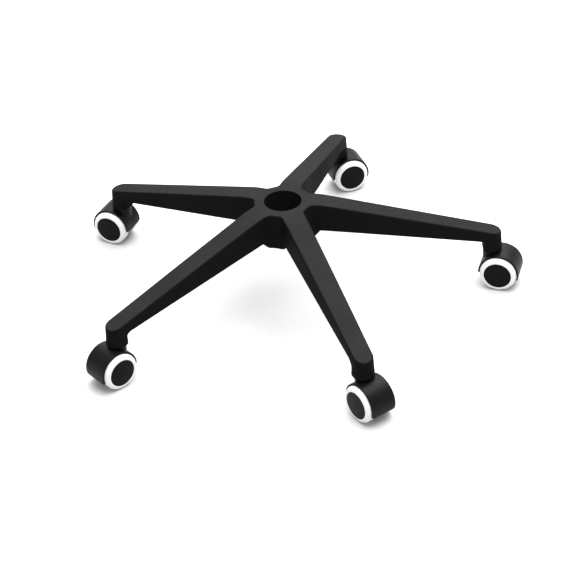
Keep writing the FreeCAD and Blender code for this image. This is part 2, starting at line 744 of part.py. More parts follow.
nodes = [star_base()]
for arm, heading in enumerate(CASTER_HEADINGS):
    caster = arm + 1
    for piece, name in ((stem, "caster_stem"), (grip_ring, "stem_grip_ring"),
                        (keeper, "stem_retaining_ring"), (hood, "caster_hood"),
                        (axle, "wheel_axle")):
        nodes.append(link(piece, f"{name}_{caster}", arm, heading))
    for piece, name in ((core, "wheel_body"), (tread, "wheel_tread")):
        nodes.append(link(piece, f"{name}_{caster}_left", arm, heading))
        nodes.append(link(piece, f"{name}_{caster}_right", arm, heading, flip=True))
doc.recompute()

# Nothing is written unless every object came out sound.
for item in doc.Objects:
    if "Invalid" in item.State or "Error" in item.State:
        raise RuntimeError(f"{item.Label} failed: {item.State}")
shapes = {node.Label: Part.getShape(node) for node in nodes}
for label, shape in shapes.items():
    if shape.isNull() or not shape.isValid() or len(shape.Solids) != 1:
        raise RuntimeError(f"{label} is not one sound solid")

os.makedirs("parts", exist_ok=True)
for label, shape in shapes.items():
    shape.exportStep(f"parts/{label}.step")
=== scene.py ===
"""Finishes, mould marks, studio and camera for the star base of an office chair."""
import json
import math

import bpy
from mathutils import Matrix, Vector


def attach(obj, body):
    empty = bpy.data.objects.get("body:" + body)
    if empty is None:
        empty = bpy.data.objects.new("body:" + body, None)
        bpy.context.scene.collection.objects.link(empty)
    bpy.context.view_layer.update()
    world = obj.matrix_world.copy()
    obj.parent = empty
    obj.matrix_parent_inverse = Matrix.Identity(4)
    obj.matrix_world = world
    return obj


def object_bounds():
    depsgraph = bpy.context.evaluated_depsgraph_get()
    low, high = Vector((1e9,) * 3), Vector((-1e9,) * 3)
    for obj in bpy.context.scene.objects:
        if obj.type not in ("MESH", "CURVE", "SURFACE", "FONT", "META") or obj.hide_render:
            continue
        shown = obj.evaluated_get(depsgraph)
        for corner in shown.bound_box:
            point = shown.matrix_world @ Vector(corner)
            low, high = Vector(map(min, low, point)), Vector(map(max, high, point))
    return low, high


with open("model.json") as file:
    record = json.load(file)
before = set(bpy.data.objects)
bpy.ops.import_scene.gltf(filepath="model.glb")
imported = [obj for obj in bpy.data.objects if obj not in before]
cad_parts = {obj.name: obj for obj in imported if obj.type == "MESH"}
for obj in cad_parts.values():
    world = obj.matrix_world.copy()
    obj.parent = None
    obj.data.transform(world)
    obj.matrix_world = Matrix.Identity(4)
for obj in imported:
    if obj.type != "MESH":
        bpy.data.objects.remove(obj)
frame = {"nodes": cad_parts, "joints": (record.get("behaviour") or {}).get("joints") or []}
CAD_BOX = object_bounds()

bl_info = {
    "name": "Star base finishes",
    "version": (1, 0, 0),
    "blender": (4, 5, 0),
    "location": "3D View > Sidebar > Star base",
    "description": "Dresses the star base of an office chair and sets it on a studio floor",
    "category": "Object",
}

MM = 0.001
ARMS = 5
NODES = frame["nodes"]
JOINTS = {joint["name"]: joint for joint in frame["joints"]}

# Sockets of a colour Mix node, whose names repeat.
MIX_FACTOR = 0
MIX_A = 6
MIX_B = 7
MIX_RESULT = 2

# Most values of a noise texture lie between these.
NOISE_LOW = 0.3
NOISE_HIGH = 0.7

# Typical refractive indices.
NYLON_IOR = 1.53
URETHANE_IOR = 1.5

# Widths of the patterns in the finishes, and the depths of those that are also felt.
MELT_CLOUDS = 45 * MM
SKIN_RIPPLE = 9 * MM
BLASTING = 0.5 * MM
BLASTING_DEPTH = 0.012 * MM
TURNING = 0.8 * MM
TURNING_DEPTH = 0.004 * MM
DISC_HAZE = 12 * MM
TREAD_SPECKS = 3 * MM
SPECK_DEPTH = 0.03 * MM
PLATING_CLOUDS = 4 * MM
OIL_FILM = 2.5 * MM
PAPER_FIBRE = 60 * MM

# Upward part of a face's normal at which the star's painted sheen starts and is full, and the
# share of that painted sheen that is left outside the patches where melt clouds meet grain crests.
PAINTED_SHEEN_START = 0.8
PAINTED_SHEEN_FULL = 0.96
PAINTED_SHEEN_LEAST = 0.36

# On a disc: the radius up to which its middle is smoothed widely, the radius at which that ends,
# and how widely, and then the radii at which the turning starts and is at its full depth.
MIDDLE_RADIUS = 4 * MM
MIDDLE_END = 7 * MM
MIDDLE_SMOOTHING = 5 * MM
TURNING_START = 3 * MM
TURNING_FULL = 6 * MM

# Half of the width over which a tread's side turns into its dusty crown.
CROWN_FADE = 0.4 * MM

# Samples of the shader that softens edges, on most pieces and on the discs.
EDGE_SAMPLES = 4
DISC_SAMPLES = 8

# Points round a pin's mark, round a seam's section and along one run of a seam.
PIN_POINTS = 40
SECTION_POINTS = 10
RUN_POINTS = 40

# Soft boxes in metres: width and depth, place, and the spot on the floor that each one faces.
TOP_BOX = {"size": (3.0, 2.6), "place": (0.4, 0.2, 2.4), "faces": (0.2, 0.2)}
BACK_BOX = {"size": (4.0, 1.8), "place": (0.6, 2.4, 2.0), "faces": (0.0, 0.0)}

# The camera's sensor in millimetres, and how far it sees in metres.
SENSOR_WIDTH = 36
VIEW_END = 100


def linear(colour):
    """Turn an sRGB hex colour into linear red, green and blue."""
    parts = [int(colour[start:start + 2], 16) / 255 for start in (1, 3, 5)]
    return tuple(p / 12.92 if p <= 0.04045 else ((p + 0.055) / 1.055) ** 2.4 for p in parts)


def opaque(colour):
    """A colour with full alpha, for a node's socket."""
    return (*colour, 1.0)


def darker(colour, share):
    """A share of a colour's light, for a node's socket."""
    return opaque([share * part for part in colour])


def colour_property(name, description, colour):
    """A colour that a user may change."""
    return bpy.props.FloatVectorProperty(
        name=name, description=description, subtype="COLOR", min=0, max=1, default=linear(colour))


def length_property(name, description, millimetres):
    """A length that a user may change."""
    return bpy.props.FloatProperty(
        name=name, description=description, unit="LENGTH", default=millimetres * MM)


def angle_property(name, description, degrees):
    """An angle that a user may change."""
    return bpy.props.FloatProperty(
        name=name, description=description, subtype="ANGLE", unit="ROTATION",
        default=math.radians(degrees))


class StarSettings(bpy.types.PropertyGroup):
    """The moulded star and the marks of its mould."""

    nylon: colour_property("Nylon", "Colour of the moulded star", "#0f0f0f")
    # Paler colour painted on the faces that look up: a painted sheen that lightens the tops.
    painted_sheen: colour_property("Painted sheen", "Paler cast of the faces that look up", "#2c2c2c")
    roughness: bpy.props.FloatProperty(
        name="Roughness", description="Roughness of the spark-eroded surface", subtype="FACTOR",
        min=0, max=1, default=0.65)
    grain: length_property("Grain", "Width of the surface's grain", 1.1)
    grain_depth: length_property("Grain depth", "Depth of that grain", 0.05)
    edge: length_property("Edge", "Softening of edges that the mould left sharp", 0.5)
    pin_radius: length_property("Pin radius", "Radius of an ejector pin's mark", 2.5)
    pin_height: length_property("Pin height", "How far a pin's mark stands out", 0.25)
    pin_first: length_property("First pin", "Socket's axis to the first mark", 103.2)
    pin_pitch: length_property("Pin pitch", "Spacing of the marks along an arm", 44.0)
    pin_count: bpy.props.IntProperty(
        name="Pins", description="Marks in a row along an arm", min=1, default=4)
    pin_spread: length_property("Pin spread", "Middle of an arm to a row of marks", 6.0)
    roof_height: length_property("Roof", "Hollow's roof, carried back to the socket's axis", 8.37)
    roof_slope: angle_property("Slope", "Fall of the hollow's roof along an arm", 15.7)


class CasterSettings(bpy.types.PropertyGroup):
    """Hoods, wheels and steel of the casters."""

    hood: colour_property("Hood", "Colour of the hoods", "#060606")
    disc: colour_property("Disc", "Colour of the wheels' discs", "#09090a")
    tread: colour_property("Tread", "Colour of the treads", "#cfcfcd")
    dust: colour_property("Dust", "Cast that a tread's crown takes from the floor", "#b5b5b2")
    steel: colour_property("Steel", "Colour of the plated stems and axles", "#b4b7ba")
    spring: colour_property("Spring steel", "Colour of the split rings", "#6d6b68")
    crown: length_property("Crown", "Radius past which a tread meets the floor", 24.4)
    edge: length_property("Edge", "Softening of edges that the mould left sharp", 0.4)
    seam_radius: length_property("Seam radius", "Axle to the outside of a hood", 27.8)
    seam_width: length_property("Seam width", "Width of the seam where the mould parted", 0.5)
    seam_height: length_property("Seam height", "How far that seam stands out", 0.1)
    seam_back_start: angle_property("Back lip", "Seam's start at the back lip", -18.0)
    seam_back_end: angle_property("Collar's back", "Seam's end behind the collar", 92.0)
    seam_front_start: angle_property("Collar's front", "Seam's start before the collar", 153.0)
    seam_front_end: angle_property("Front lip", "Seam's end at the front lip", 183.0)


class StudioSettings(bpy.types.PropertyGroup):
    """Floor, lights and camera."""

    floor: colour_property("Floor", "Colour of the floor", "#bdbdbd")
    floor_half: length_property("Floor size", "Half of the floor's width", 12000.0)
    fill: bpy.props.FloatProperty(
        name="Fill", description="Strength of the even light from all round", min=0, default=1.0)
    top_power: bpy.props.FloatProperty(
        name="Top light", description="Power of the soft box overhead", unit="POWER", min=0,
        default=180.0)
    back_power: bpy.props.FloatProperty(
        name="Back light", description="Power of the soft box behind", unit="POWER", min=0,
        default=85.0)
    lens: bpy.props.FloatProperty(
        name="Lens", description="Focal length on a 36 mm sensor", unit="CAMERA", default=131.47)
    distance: length_property("Distance", "Camera to the point that it looks at", 2654.3)
    elevation: angle_property("Elevation", "Height of the camera, as an angle", 35.084)
    turn: angle_property("Turn", "Turn of the camera about the vertical", -0.504)
    roll: angle_property("Roll", "Tilt of the camera about its own axis", -3.369)
    target: bpy.props.FloatVectorProperty(
        name="Target", description="Point that the camera looks at, before its turn",
        subtype="TRANSLATION", unit="LENGTH", default=(2.711 * MM, -207.62 * MM, 0))


def add_node(tree, kind, inputs=None, **settings):
    """Add a node with its settings; an input is a value or another node's socket."""
    made = tree.nodes.new(kind)
    for name, value in settings.items():
        setattr(made, name, value)
    for key, value in (inputs or {}).items():
        if isinstance(value, bpy.types.NodeSocket):
            tree.links.new(value, made.inputs[key])
        else:
            made.inputs[key].default_value = value
    return made


def new_material(name):
    """An empty material: its tree, and the object's own coordinates."""
    material = bpy.data.materials.new(name)
    material.use_nodes = True
    material.node_tree.nodes.clear()
    place = add_node(material.node_tree, "ShaderNodeTexCoord").outputs["Object"]
    return material, material.node_tree, place


def surface(tree, inputs):
    """Close a material's tree with its surface shader."""
    shader = add_node(tree, "ShaderNodeBsdfPrincipled", inputs)
    add_node(tree, "ShaderNodeOutputMaterial", {"Surface": shader.outputs["BSDF"]})


def put(material, names):
    """Give CAD nodes a material."""
    for name in names:
        slots = NODES[name].data.materials
        slots.clear()
        slots.append(material)


def called(*starts):
    """Names of the CAD nodes that start in one of these ways."""
    return sorted(name for name in NODES if name.startswith(starts))


def moulded_nylon(settings):
    """Glass-filled nylon from a spark-eroded mould.

    The mould's grain breaks up every reflection, so tops turn grey under a soft box while walls
    stay near black. The faces that look up are also painted paler, a painted sheen that lightens
    the tops further, strongest where a cloud of the melt and a crest of the grain come together.
    """
    material, tree, place = new_material("glass_filled_nylon_spark_eroded")
    # The real grain is about 0.1 mm wide; it is drawn wider so that it shows.
    grain = add_node(tree, "ShaderNodeTexNoise", {
        "Vector": place, "Scale": 1 / settings.grain, "Detail": 3.0, "Roughness": 0.6})
    clouds = add_node(tree, "ShaderNodeTexNoise", {
        "Vector": place, "Scale": 1 / MELT_CLOUDS, "Detail": 4.0, "Roughness": 0.55})
    cloud_mask = add_node(tree, "ShaderNodeMapRange", {
        "Value": clouds.outputs["Fac"], "From Min": 0.35, "From Max": 0.75})
    grain_mask = add_node(tree, "ShaderNodeMapRange", {
        "Value": grain.outputs["Fac"], "From Min": 0.42, "From Max": 0.72})
    # Patches of stronger painted sheen, where a cloud of the melt meets a crest of the grain.
    sheen_patches = add_node(tree, "ShaderNodeMath", {
        0: cloud_mask.outputs["Result"], 1: grain_mask.outputs["Result"]}, operation="MULTIPLY")
    uneven = add_node(tree, "ShaderNodeMapRange", {
        "Value": sheen_patches.outputs["Value"], "To Min": PAINTED_SHEEN_LEAST})
    facing = add_node(tree, "ShaderNodeSeparateXYZ", {
        "Vector": add_node(tree, "ShaderNodeNewGeometry").outputs["Normal"]})
    upward = add_node(tree, "ShaderNodeMapRange", {
        "Value": facing.outputs["Z"], "From Min": PAINTED_SHEEN_START, "From Max": PAINTED_SHEEN_FULL})
    # Painted sheen: faces that look up are mixed towards the paler colour, unevenly in patches.
    painted_sheen_share = add_node(tree, "ShaderNodeMath", {
        0: uneven.outputs["Result"], 1: upward.outputs["Result"]}, operation="MULTIPLY")
    colour = add_node(tree, "ShaderNodeMix", {
        MIX_FACTOR: painted_sheen_share.outputs["Value"], MIX_A: opaque(settings.nylon),
        MIX_B: opaque(settings.painted_sheen)}, data_type="RGBA")
    rough = add_node(tree, "ShaderNodeMapRange", {
        "Value": clouds.outputs["Fac"], "From Min": NOISE_LOW, "From Max": NOISE_HIGH,
        "To Min": settings.roughness - 0.05, "To Max": settings.roughness + 0.06})
    soft_edge = add_node(tree, "ShaderNodeBevel", {"Radius": settings.edge}, samples=EDGE_SAMPLES)
    bump = add_node(tree, "ShaderNodeBump", {
        "Height": grain.outputs["Fac"], "Distance": settings.grain_depth, "Strength": 0.5,
        "Normal": soft_edge.outputs["Normal"]})
    # The grain swallows nearly all of the gloss.
    surface(tree, {
        "Base Color": colour.outputs[MIX_RESULT], "Roughness": rough.outputs["Result"],
        "Normal": bump.outputs["Normal"], "IOR": NYLON_IOR, "Specular IOR Level": 0.016})
    return material


def satin_nylon(settings):
    """Unfilled nylon from a polished and lightly blasted mould.

    It is blacker and smoother than the star, so the crowns of the hoods carry a soft bright
    streak. Slow ripples of the skin bend that streak a little.
    """
    material, tree, place = new_material("unfilled_nylon_satin_moulded")
    ripple = add_node(tree, "ShaderNodeTexNoise", {
        "Vector": place, "Scale": 1 / SKIN_RIPPLE, "Detail": 2.0})
    # The real blasting is about 0.05 mm; it is drawn ten times as coarse so that it shows.
    blast = add_node(tree, "ShaderNodeTexNoise", {
        "Vector": place, "Scale": 1 / BLASTING, "Detail": 2.0})
    rough = add_node(tree, "ShaderNodeMapRange", {
        "Value": ripple.outputs["Fac"], "From Min": NOISE_LOW, "From Max": NOISE_HIGH,
        "To Min": 0.4, "To Max": 0.5})
    tint = add_node(tree, "ShaderNodeMix", {
        MIX_FACTOR: ripple.outputs["Fac"], MIX_A: opaque(settings.hood),
        MIX_B: darker(settings.hood, 0.72)}, data_type="RGBA")
    soft_edge = add_node(tree, "ShaderNodeBevel", {"Radius": settings.edge}, samples=EDGE_SAMPLES)
    bump = add_node(tree, "ShaderNodeBump", {
        "Height": blast.outputs["Fac"], "Distance": BLASTING_DEPTH, "Strength": 0.5,
        "Normal": soft_edge.outputs["Normal"]})
    surface(tree, {
        "Base Color": tint.outputs[MIX_RESULT], "Roughness": rough.outputs["Result"],
        "Normal": bump.outputs["Normal"], "IOR": NYLON_IOR, "Specular IOR Level": 0.1})
    return material


def axle(number):
    """The middle of a caster's axle, and the angle about the vertical to which its wheels trail."""
    joint = JOINTS[f"wheel_{number}_left_spin"]
    return joint["pos_m"], math.atan2(joint["axis"][1], joint["axis"][0]) - math.pi / 2


def wheel_place(tree, place, number):
    """A wheel's own coordinates: Y runs along its axle, from the middle of the caster."""
    centre, heading = axle(number)
    centred = add_node(tree, "ShaderNodeMapping", {
        "Vector": place, "Location": centre, "Rotation": (0, 0, heading)}, vector_type="TEXTURE")
    flat = add_node(tree, "ShaderNodeVectorMath", {
        0: centred.outputs["Vector"], 1: (1.0, 0.0, 1.0)}, operation="MULTIPLY")
    radius = add_node(tree, "ShaderNodeVectorMath", {0: flat.outputs["Vector"]},
                      operation="LENGTH")
    return centred.outputs["Vector"], radius.outputs["Value"]


def disc_nylon(settings, number):
    """Nylon discs from a turned mould insert.

    The insert's fine turning leaves rings about the axle, seen as a slight change of gloss.
    """
    material, tree, place = new_material(f"nylon_disc_turned_mould_{number}")
    spot, radius = wheel_place(tree, place, number)
    # Turning marks 0.1 mm apart are drawn 0.8 mm apart so that they show.
    turns = add_node(tree, "ShaderNodeMath", {
        0: radius, 1: 2 * math.pi / TURNING}, operation="MULTIPLY")
    rings = add_node(tree, "ShaderNodeMath", {0: turns.outputs["Value"]}, operation="SINE")
    haze = add_node(tree, "ShaderNodeTexNoise", {
        "Vector": spot, "Scale": 1 / DISC_HAZE, "Detail": 3.0})
    rough = add_node(tree, "ShaderNodeMapRange", {
        "Value": haze.outputs["Fac"], "From Min": NOISE_LOW, "From Max": NOISE_HIGH,
        "To Min": 0.3, "To Max": 0.42})
    tint = add_node(tree, "ShaderNodeMix", {
        MIX_FACTOR: haze.outputs["Fac"], MIX_A: opaque(settings.disc),
        MIX_B: darker(settings.disc, 0.75)}, data_type="RGBA")
    # The dome's facets meet in a point at the axle, so the middle is smoothed more widely.
    smoothing = add_node(tree, "ShaderNodeMapRange", {
        "Value": radius, "From Min": MIDDLE_RADIUS, "From Max": MIDDLE_END,
        "To Min": MIDDLE_SMOOTHING, "To Max": settings.edge})
    soft_edge = add_node(tree, "ShaderNodeBevel", {"Radius": smoothing.outputs["Result"]},
                         samples=DISC_SAMPLES)
    # The turning starts a little way out from the middle.
    start = add_node(tree, "ShaderNodeMapRange", {
        "Value": radius, "From Min": TURNING_START, "From Max": TURNING_FULL, "To Max": 0.6})
    bump = add_node(tree, "ShaderNodeBump", {
        "Height": rings.outputs["Value"], "Distance": TURNING_DEPTH,
        "Strength": start.outputs["Result"], "Normal": soft_edge.outputs["Normal"]})
    surface(tree, {
        "Base Color": tint.outputs[MIX_RESULT], "Roughness": rough.outputs["Result"],
        "Normal": bump.outputs["Normal"], "IOR": NYLON_IOR, "Specular IOR Level": 0.055})
    return material


def tread_urethane(settings, number):
    """White polyurethane cast on the wheel.

    It is slightly waxy, so its gloss is broad and soft. Its crown picks up a faint grey from the
    floor.
    """
    material, tree, place = new_material(f"white_polyurethane_cast_{number}")
    spot, radius = wheel_place(tree, place, number)
    crown = add_node(tree, "ShaderNodeMapRange", {
        "Value": radius, "From Min": settings.crown - CROWN_FADE,
        "From Max": settings.crown + CROWN_FADE})
    specks = add_node(tree, "ShaderNodeTexNoise", {
        "Vector": spot, "Scale": 1 / TREAD_SPECKS, "Detail": 5.0, "Roughness": 0.7})
    scuffed = add_node(tree, "ShaderNodeMapRange", {
        "Value": specks.outputs["Fac"], "From Min": 0.45, "From Max": 0.75, "To Max": 0.6})
    worn = add_node(tree, "ShaderNodeMath", {
        0: crown.outputs["Result"], 1: scuffed.outputs["Result"]}, operation="MULTIPLY")
    colour = add_node(tree, "ShaderNodeMix", {
        MIX_FACTOR: worn.outputs["Value"], MIX_A: opaque(settings.tread),
        MIX_B: opaque(settings.dust)}, data_type="RGBA")
    rough = add_node(tree, "ShaderNodeMapRange", {
        "Value": worn.outputs["Value"], "To Min": 0.42, "To Max": 0.6})
    soft_edge = add_node(tree, "ShaderNodeBevel", {"Radius": settings.edge}, samples=EDGE_SAMPLES)
    bump = add_node(tree, "ShaderNodeBump", {
        "Height": specks.outputs["Fac"], "Distance": SPECK_DEPTH, "Strength": 0.4,
        "Normal": soft_edge.outputs["Normal"]})
    surface(tree, {
        "Base Color": colour.outputs[MIX_RESULT], "Roughness": rough.outputs["Result"],
        "Normal": bump.outputs["Normal"], "IOR": URETHANE_IOR})
    return material


def plated_steel(settings):
    """Turned mild steel with bright zinc plating: silvery, with cloudy passivation."""
    material, tree, place = new_material("mild_steel_zinc_plated")
    cloud = add_node(tree, "ShaderNodeTexNoise", {
        "Vector": place, "Scale": 1 / PLATING_CLOUDS, "Detail": 4.0})
    colour = add_node(tree, "ShaderNodeMix", {
        MIX_FACTOR: cloud.outputs["Fac"], MIX_A: opaque(settings.steel),
        MIX_B: darker(settings.steel, 0.8)}, data_type="RGBA")
    rough = add_node(tree, "ShaderNodeMapRange", {
        "Value": cloud.outputs["Fac"], "From Min": NOISE_LOW, "From Max": NOISE_HIGH,
        "To Min": 0.22, "To Max": 0.36})
    surface(tree, {
        "Base Color": colour.outputs[MIX_RESULT], "Roughness": rough.outputs["Result"],
        "Metallic": 1.0})
    return material


def oiled_spring_steel(settings):
    """Hardened and oiled spring steel: darker, with a brown-grey film that varies in gloss."""
    material, tree, place = new_material("spring_steel_oiled")
    film = add_node(tree, "ShaderNodeTexNoise", {
        "Vector": place, "Scale": 1 / OIL_FILM, "Detail": 3.0})
    colour = add_node(tree, "ShaderNodeMix", {
        MIX_FACTOR: film.outputs["Fac"], MIX_A: opaque(settings.spring),
        MIX_B: darker(settings.spring, 0.65)}, data_type="RGBA")
    rough = add_node(tree, "ShaderNodeMapRange", {
        "Value": film.outputs["Fac"], "From Min": NOISE_LOW, "From Max": NOISE_HIGH,
        "To Min": 0.3, "To Max": 0.5})
    surface(tree, {
        "Base Color": colour.outputs[MIX_RESULT], "Roughness": rough.outputs["Result"],
        "Metallic": 1.0})
    return material


def new_tree(name, inputs):
    """A geometry tree with nothing in it but its inputs, each named with its kind."""
    tree = bpy.data.node_groups.new(name, "GeometryNodeTree")
    for socket, kind in inputs.items():
        tree.interface.new_socket(socket, in_out="INPUT", socket_type=f"NodeSocket{kind}")
    tree.interface.new_socket("Geometry", in_out="OUTPUT", socket_type="NodeSocketGeometry")
    return tree, add_node(tree, "NodeGroupInput").outputs


def close_tree(tree, geometry, material):
    """End a geometry tree in faces of one material."""
    real = add_node(tree, "GeometryNodeRealizeInstances", {"Geometry": geometry})
    dressed = add_node(tree, "GeometryNodeSetMaterial", {
        "Geometry": real.outputs["Geometry"], "Material": material})
    add_node(tree, "NodeGroupOutput", {"Geometry": dressed.outputs["Geometry"]})


def pin_mark_tree(material):
    """Two rows of round marks along the roof of an arm, repeated for every arm."""
    tree, given = new_tree("ejector_pin_marks", {
        "Radius": "Float", "Height": "Float", "First": "Float", "Pitch": "Float",
        "Spread": "Float", "Roof": "Float", "Slope": "Float", "Count": "Int", "Arms": "Int"})

    fall = add_node(tree, "ShaderNodeMath", {0: given["Slope"]}, operation="TANGENT")
    step = add_node(tree, "ShaderNodeCombineXYZ", {"X": given["Pitch"]})
    rows = add_node(tree, "GeometryNodeJoinGeometry")
    for side in (-1.0, 1.0):
        across = add_node(tree, "ShaderNodeMath", {0: given["Spread"], 1: side},
                          operation="MULTIPLY")
        start = add_node(tree, "ShaderNodeCombineXYZ", {
            "X": given["First"], "Y": across.outputs["Value"]})
        row = add_node(tree, "GeometryNodeMeshLine", {
            "Count": given["Count"], "Start Location": start.outputs["Vector"],
            "Offset": step.outputs["Vector"]}, mode="OFFSET")
        tree.links.new(row.outputs["Mesh"], rows.inputs["Geometry"])

    place = add_node(tree, "GeometryNodeInputPosition")
    parts = add_node(tree, "ShaderNodeSeparateXYZ", {"Vector": place.outputs["Position"]})
    drop = add_node(tree, "ShaderNodeMath", {
        0: parts.outputs["X"], 1: fall.outputs["Value"]}, operation="MULTIPLY")
    height = add_node(tree, "ShaderNodeMath", {
        0: given["Roof"], 1: drop.outputs["Value"]}, operation="SUBTRACT")
    lift = add_node(tree, "ShaderNodeCombineXYZ", {"Z": height.outputs["Value"]})
    on_roof = add_node(tree, "GeometryNodeSetPosition", {
        "Geometry": rows.outputs["Geometry"], "Offset": lift.outputs["Vector"]})

    # A disc is sunk to half of its length in the roof.
    depth = add_node(tree, "ShaderNodeMath", {0: given["Height"], 1: 2.0}, operation="MULTIPLY")
    disc = add_node(tree, "GeometryNodeMeshCylinder", {
        "Vertices": PIN_POINTS, "Radius": given["Radius"], "Depth": depth.outputs["Value"]})
    lean = add_node(tree, "ShaderNodeCombineXYZ", {"Y": given["Slope"]})
    marks = add_node(tree, "GeometryNodeInstanceOnPoints", {
        "Points": on_roof.outputs["Geometry"], "Instance": disc.outputs["Mesh"],
        "Rotation": lean.outputs["Vector"]})

    hub = add_node(tree, "GeometryNodeMeshLine", {"Count": given["Arms"], "Offset": (0, 0, 0)},
                   mode="OFFSET")
    number = add_node(tree, "GeometryNodeInputIndex")
    share = add_node(tree, "ShaderNodeMath", {0: 2 * math.pi, 1: given["Arms"]},
                     operation="DIVIDE")
    angle = add_node(tree, "ShaderNodeMath", {
        0: number.outputs["Index"], 1: share.outputs["Value"]}, operation="MULTIPLY")
    turn = add_node(tree, "ShaderNodeCombineXYZ", {"Z": angle.outputs["Value"]})
    star = add_node(tree, "GeometryNodeInstanceOnPoints", {
        "Points": hub.outputs["Mesh"], "Instance": marks.outputs["Instances"],
        "Rotation": turn.outputs["Vector"]})
    close_tree(tree, star.outputs["Instances"], material)
    return tree


def seam_tree(material):
    """The raised seam along the crown of a hood, in two runs that stop at its collar."""
    tree, given = new_tree("hood_parting_seam", {
        "Radius": "Float", "Width": "Float", "Height": "Float", "Back Start": "Float",
        "Back End": "Float", "Front Start": "Float", "Front End": "Float",
        "Heading": "Float", "Axle": "Vector"})

    # The seam's section is a flat ellipse, half sunk in the hood.
    half_width = add_node(tree, "ShaderNodeMath", {0: given["Width"], 1: 0.5},
                          operation="MULTIPLY")
    size = add_node(tree, "ShaderNodeCombineXYZ", {
        "X": given["Height"], "Y": half_width.outputs["Value"], "Z": 1.0})
    circle = add_node(tree, "GeometryNodeCurvePrimitiveCircle", {
        "Resolution": SECTION_POINTS, "Radius": 1.0}, mode="RADIUS")
    section = add_node(tree, "GeometryNodeTransform", {
        "Geometry": circle.outputs["Curve"], "Scale": size.outputs["Vector"]})
    runs = add_node(tree, "GeometryNodeJoinGeometry")
    for side in ("Back", "Front"):
        sweep = add_node(tree, "ShaderNodeMath", {
            0: given[f"{side} End"], 1: given[f"{side} Start"]}, operation="SUBTRACT")
        arc = add_node(tree, "GeometryNodeCurveArc", {
            "Resolution": RUN_POINTS, "Radius": given["Radius"],
            "Start Angle": given[f"{side} Start"], "Sweep Angle": sweep.outputs["Value"]},
            mode="RADIUS")
        run = add_node(tree, "GeometryNodeCurveToMesh", {
            "Curve": arc.outputs["Curve"], "Profile Curve": section.outputs["Geometry"],
            "Fill Caps": True})
        tree.links.new(run.outputs["Mesh"], runs.inputs["Geometry"])

    # Arcs are drawn flat, so they are stood up before they turn to the caster's heading.
    turn = add_node(tree, "ShaderNodeCombineXYZ", {"X": math.pi / 2, "Z": given["Heading"]})
    placed = add_node(tree, "GeometryNodeTransform", {
        "Geometry": runs.outputs["Geometry"], "Translation": given["Axle"],
        "Rotation": turn.outputs["Vector"]})
    close_tree(tree, placed.outputs["Geometry"], material)
    return tree


def new_object(name, data):
    """An object in the scene."""
    made = bpy.data.objects.new(name, data)
    bpy.context.scene.collection.objects.link(made)
    return made


def grown(name, tree, values):
    """Run a geometry tree with its inputs set and keep the result as a plain mesh."""
    piece = new_object(name, bpy.data.meshes.new(name))
    modifier = piece.modifiers.new(name, "NODES")
    modifier.node_group = tree
    for item in tree.interface.items_tree:
        if item.in_out == "INPUT":
            modifier[item.identifier] = values[item.name]
    graph = bpy.context.evaluated_depsgraph_get()
    mesh = bpy.data.meshes.new_from_object(piece.evaluated_get(graph))
    piece.modifiers.remove(modifier)
    piece.data = mesh
    mesh.name = name
    return piece


class STARBASE_OT_finish_star(bpy.types.Operator):
    """Give the moulded star its grained nylon"""

    bl_idname = "starbase.finish_star"
    bl_label = "Finish the star"

    def execute(self, context):
        put(moulded_nylon(context.scene.star_settings), ["star_base"])
        return {"FINISHED"}


class STARBASE_OT_mark_mould(bpy.types.Operator):
    """Add the marks of the ejector pins inside the arms"""

    bl_idname = "starbase.mark_mould"
    bl_label = "Mark the mould's pins"

    def execute(self, context):
        settings = context.scene.star_settings
        nylon = NODES["star_base"].data.materials[0]
        marks = grown("ejector_pin_marks", pin_mark_tree(nylon), {
            "Radius": settings.pin_radius, "Height": settings.pin_height,
            "First": settings.pin_first, "Pitch": settings.pin_pitch,
            "Spread": settings.pin_spread, "Roof": settings.roof_height,
            "Slope": settings.roof_slope, "Count": settings.pin_count, "Arms": ARMS})
        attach(marks, "base")
        return {"FINISHED"}


class STARBASE_OT_finish_hoods(bpy.types.Operator):
    """Give the caster hoods their satin nylon"""

    bl_idname = "starbase.finish_hoods"
    bl_label = "Finish the hoods"

    def execute(self, context):
        put(satin_nylon(context.scene.caster_settings), called("caster_hood_"))
        return {"FINISHED"}


class STARBASE_OT_seam_hoods(bpy.types.Operator):
    """Add the seam that the two halves of the mould leave along each hood"""

    bl_idname = "starbase.seam_hoods"
    bl_label = "Seam the hoods"

    def execute(self, context):
        settings = context.scene.caster_settings
        tree = seam_tree(NODES["caster_hood_1"].data.materials[0])
        for number in range(1, ARMS + 1):
            centre, heading = axle(number)
            seam = grown(f"hood_parting_seam_{number}", tree, {
                "Radius": settings.seam_radius, "Width": settings.seam_width,
                "Height": settings.seam_height, "Back Start": settings.seam_back_start,
                "Back End": settings.seam_back_end, "Front Start": settings.seam_front_start,
                "Front End": settings.seam_front_end, "Heading": heading, "Axle": centre})
            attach(seam, f"caster_{number}")
        return {"FINISHED"}


class STARBASE_OT_finish_wheels(bpy.types.Operator):
    """Give the wheels their black discs and white treads"""

    bl_idname = "starbase.finish_wheels"
    bl_label = "Finish the wheels"

    def execute(self, context):
        settings = context.scene.caster_settings
        for number in range(1, ARMS + 1):
            put(disc_nylon(settings, number), called(f"wheel_body_{number}_"))
            put(tread_urethane(settings, number), called(f"wheel_tread_{number}_"))
        return {"FINISHED"}


class STARBASE_OT_finish_steel(bpy.types.Operator):
    """Give stems, axles and split rings their steels"""

    bl_idname = "starbase.finish_steel"
    bl_label = "Finish the steel"

    def execute(self, context):
        settings = context.scene.caster_settings
        put(plated_steel(settings), called("caster_stem_", "wheel_axle_"))
        put(oiled_spring_steel(settings), called("stem_grip_ring_", "stem_retaining_ring_"))
        return {"FINISHED"}


def aimed(place, target):
    """A placement at one point whose -Z axis looks at another."""
    place = Vector(place)
    look = (Vector(target) - place).to_track_quat("-Z", "Y")
    return Matrix.Translation(place) @ look.to_matrix().to_4x4()


